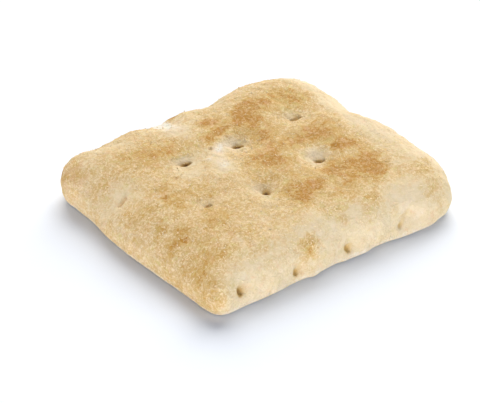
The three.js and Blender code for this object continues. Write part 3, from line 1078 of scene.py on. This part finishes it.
# %% Where the grains lie
choose(crust)
bpy.ops.object.duplicate()
grains = bpy.context.object
grains.name = "semolina_grains"
dust = np.clip(browning, 0.1, 0.5) * (1 - 0.7 * np.clip((browning - 0.6) / 0.15, 0, 1))
dust *= np.clip((skin[:, 2] - 7) / 10, 0, 1) * (1 - pit_depth) * (1 + 0.8 * noise_at(skin, 8, 23))
dust *= 1.8 * np.clip(1.1 - (skin[:, 0] + 0.8 * skin[:, 1]) / 60, 0.35, 1.3)
dust += 0.5 * flour_and_reflection * (skin[:, 2] > 8)
store(grains, "dust", np.clip(dust, 0, 3) * (skin[:, 2] > 3))
print("the mean dust is", round(float(dust.mean()), 2))

# %% [markdown]
# Geometry Nodes scatters one small ball over the copy and gives each its own size and turn. Only a few
# faces are needed for a lump of that size.

# %% Draw the recipe for scattering
GRAIN_RADIUS = 0.3  # in mm, before a grain is stretched
SMALLEST, LARGEST = (0.5, 0.45, 0.35), (2.6, 1.0, 0.7)  # how far it is stretched along its three axes
FULL_TURN = (6.28, 6.28, 6.28)
PER_SQUARE_METRE = 240000  # how many grains there are where the dust is 1

recipe = bpy.data.node_groups.new("scatter grains", "GeometryNodeTree")
recipe.interface.new_socket(name="Geometry", in_out="INPUT", socket_type="NodeSocketGeometry")
recipe.interface.new_socket(name="Geometry", in_out="OUTPUT", socket_type="NodeSocketGeometry")
step = {
    name: recipe.nodes.new(kind)
    for name, kind in {
        "crust": "NodeGroupInput", "result": "NodeGroupOutput",
        "dust": "GeometryNodeInputNamedAttribute", "density": "ShaderNodeMath",
        "points": "GeometryNodeDistributePointsOnFaces", "ball": "GeometryNodeMeshIcoSphere",
        "size": "FunctionNodeRandomValue", "turn": "FunctionNodeRandomValue",
        "place": "GeometryNodeInstanceOnPoints", "make": "GeometryNodeRealizeInstances",
    }.items()
}
step["dust"].data_type = "FLOAT"
step["dust"].inputs["Name"].default_value = "dust"
step["density"].operation = "MULTIPLY"
step["density"].inputs[1].default_value = PER_SQUARE_METRE
step["points"].inputs["Seed"].default_value = 7
step["ball"].inputs["Radius"].default_value = GRAIN_RADIUS * MM
step["ball"].inputs["Subdivisions"].default_value = 1
step["size"].data_type = "FLOAT_VECTOR"
step["size"].inputs[0].default_value = SMALLEST
step["size"].inputs[1].default_value = LARGEST
step["turn"].data_type = "FLOAT_VECTOR"
step["turn"].inputs[1].default_value = FULL_TURN
for start, start_socket, end, end_socket in (
    ("dust", "Attribute", "density", 0), ("crust", "Geometry", "points", "Mesh"),
    ("density", 0, "points", "Density"), ("points", "Points", "place", "Points"),
    ("ball", "Mesh", "place", "Instance"), ("size", 0, "place", "Scale"),
    ("turn", 0, "place", "Rotation"), ("place", "Instances", "make", "Geometry"),
    ("make", "Geometry", "result", "Geometry"),
):
    recipe.links.new(step[start].outputs[start_socket], step[end].inputs[end_socket])
print("steps in the recipe:", len(step))

# %% [markdown]
# The modifier is applied, so that the piece is plain mesh. The crust's numbers are of no use to it and
# are taken off.

# %% Scatter the grains
BALL_CORNERS = 12  # a ball of 20 triangles has 12 corners
SKIN_NUMBERS = ("pressed", "browning", "pit", "painted_pit_shade", "tint", "flour_and_reflection", "underside", "dust")

scatter = grains.modifiers.new("scatter", "NODES")
scatter.node_group = recipe
choose(grains)
bpy.ops.object.modifier_apply(modifier="scatter")
for layer in [a.name for a in grains.data.attributes if a.name in SKIN_NUMBERS]:
    grains.data.attributes.remove(grains.data.attributes[layer])
print("grains:", len(grains.data.vertices) // BALL_CORNERS, "with", len(grains.data.polygons), "triangles")

# %% [markdown]
# Semolina is a warm, pale yellow, and no two grains are quite alike.

# %% Colour the grains
TOASTED_GRAIN, PALE_GRAIN = tone(244, 218, 168), tone(253, 234, 194)

grain_recipe = Recipe("semolina")
shade = grain_recipe.between(grain_recipe.noise(0.9), 0.35, 0.65)
grain_colour = grain_recipe.mix(shade, TOASTED_GRAIN, PALE_GRAIN)
grain_recipe.put(grain_colour, grain_recipe.shader.inputs["Base Color"])
grain_recipe.shader.inputs["Roughness"].default_value = 0.7
grain_recipe.shader.inputs["Specular IOR Level"].default_value = 0.3
grains.data.materials.clear()
grains.data.materials.append(grain_recipe.material)
print("the grains' material has", len(grain_recipe.nodes), "nodes")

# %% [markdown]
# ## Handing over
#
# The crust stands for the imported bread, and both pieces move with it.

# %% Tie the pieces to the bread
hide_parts("focaccia")
for piece in (crust, grains):
    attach(piece, "root")
print("pieces on the bread:", crust.name, grains.name)

# %% Measure and finish
dressed_box = [list(corner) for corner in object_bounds()]
sides = zip(cad_box[0] + cad_box[1], dressed_box[0] + dressed_box[1])
print("grew by", [round((after - before) / MM, 2) for before, after in sides], "mm")
